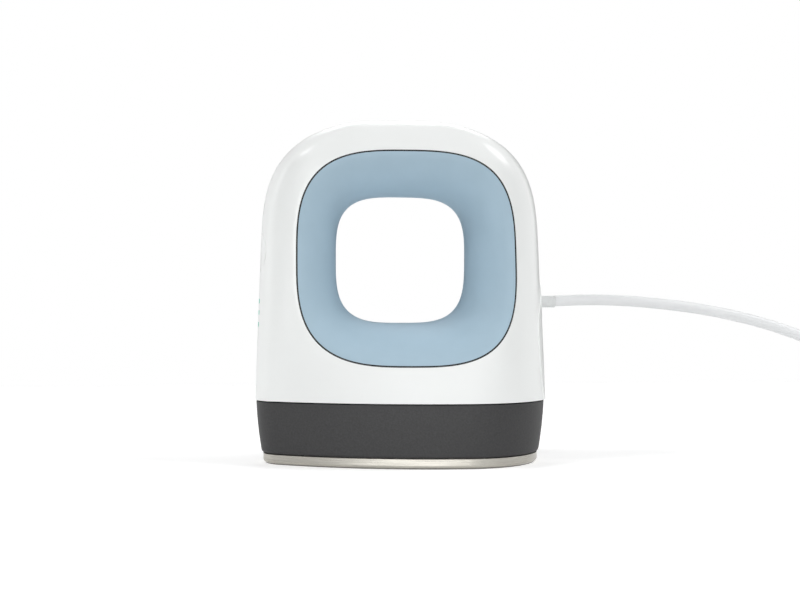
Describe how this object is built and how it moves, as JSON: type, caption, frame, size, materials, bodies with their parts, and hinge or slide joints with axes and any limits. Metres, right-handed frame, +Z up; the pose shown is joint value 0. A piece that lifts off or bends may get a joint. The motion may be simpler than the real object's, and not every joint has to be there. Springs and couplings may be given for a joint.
{
  "type": "mini handheld heat press",
  "caption": "Small iron-shaped craft heat press: teardrop heated plate, dark skirt, white ring body with a blue finger grip, end power button, status lights and mains cord.",
  "frame": {"origin": "on the work surface under the middle of the body, at the sole's lowest face", "axes": "+Z up out of the plate through the ring handle; -X to the nose with the power button and lights; +X to the heel with the cord; -Y is the front face"},
  "size_m": [0.2829, 0.0604, 0.1026],
  "materials": {
    "white_shell": "satin white moulded ABS, untextured",
    "blue_grip": "smooth matt light blue",
    "groove_seal": "near-black soft gasket",
    "dark_skirt": "dark grey high-temperature plastic with a fine spark texture",
    "plate_metal": "fine-turned cast aluminium, satin",
    "ceramic_coat": "smooth grey ceramic coating",
    "steel": "bright zinc-plated steel",
    "element_sheath": "dull stainless sheath",
    "white_ceramic": "off-white glazed ceramic",
    "mica": "tan mica sheet",
    "fibre_pad": "white ceramic-fibre felt",
    "light_pipe": "teal translucent plastic",
    "board_green": "green solder mask",
    "black_part": "black moulded component body",
    "led_body": "pale LED bodies",
    "grey_nylon": "grey glass-filled nylon",
    "ribbon": "grey flat cable",
    "orange_film": "orange dipped film capacitor",
    "terminal_green": "green terminal block",
    "fuse_glass": "clear glass tube with metal caps, one solid",
    "sensor_metal": "small aluminium cans",
    "lead_insulation": "heat-proof sleeved leads",
    "cord_grey": "light grey soft PVC",
    "boot_grey": "slightly darker grey soft PVC",
    "tie_grey": "dark grey hook-and-loop strap",
    "blade_brass": "bright brass blades"
  },
  "bodies": {
    "press": {"front_shell": "white_shell", "rear_shell": "white_shell", "cord_bezel": "white_shell", "front_grip_liner": "blue_grip", "rear_grip_liner": "blue_grip", "front_groove_seal": "groove_seal", "rear_groove_seal": "groove_seal", "base_skirt": "dark_skirt", "heat_plate": "plate_metal", "ceramic_coating": "ceramic_coat", "heater_clamp": "steel", "clamp_screws": "steel", "heat_shield": "steel", "plate_standoffs": "steel", "plate_screws": "steel", "deck_screws": "steel", "corner_screws": "steel", "mast_screws": "steel", "board_screws": "steel", "fuse_clips": "steel", "element_terminals": "steel", "heating_element": "element_sheath", "terminal_sleeves": "white_ceramic", "mica_sheet": "mica", "insulation_pad": "fibre_pad", "low_light_pipe": "light_pipe", "medium_light_pipe": "light_pipe", "high_light_pipe": "light_pipe", "main_board": "board_green", "indicator_board": "board_green", "triac": "black_part", "microcontroller": "black_part", "tact_switch": "black_part", "supply_module": "black_part", "indicator_leds": "led_body", "indicator_mast": "grey_nylon", "board_ribbon": "ribbon", "film_capacitor": "orange_film", "terminal_block": "terminal_green", "board_fuse": "fuse_glass", "thermal_fuse": "sensor_metal", "thermistor": "sensor_metal", "motion_sensor": "sensor_metal", "triac_heatsink": "sensor_metal", "sensor_leads": "lead_insulation", "heater_leads": "lead_insulation", "mains_leads": "lead_insulation", "mains_cord": "cord_grey", "cord_coil": "cord_grey", "plug_tail": "cord_grey", "plug_body": "cord_grey", "strain_relief": "boot_grey", "cord_tie": "tie_grey", "plug_blades": "blade_brass"},
    "button": {"power_button": "white_shell"},
    "plunger": {"switch_plunger": "black_part"}
  },
  "joints": [
    {"name": "power_button_press", "type": "slide", "parent": "press", "child": "button", "axis": [1, 0, 0], "range_m": [0, 0.0006], "stiffness_N_per_m": 2500},
    {"name": "switch_plunger_press", "type": "slide", "parent": "press", "child": "plunger", "axis": [1, 0, 0], "range_m": [0, 0.0006]}
  ],
  "couplings": [
    {"joint": "switch_plunger_press", "follows": "power_button_press", "ratio": 1}
  ]
}
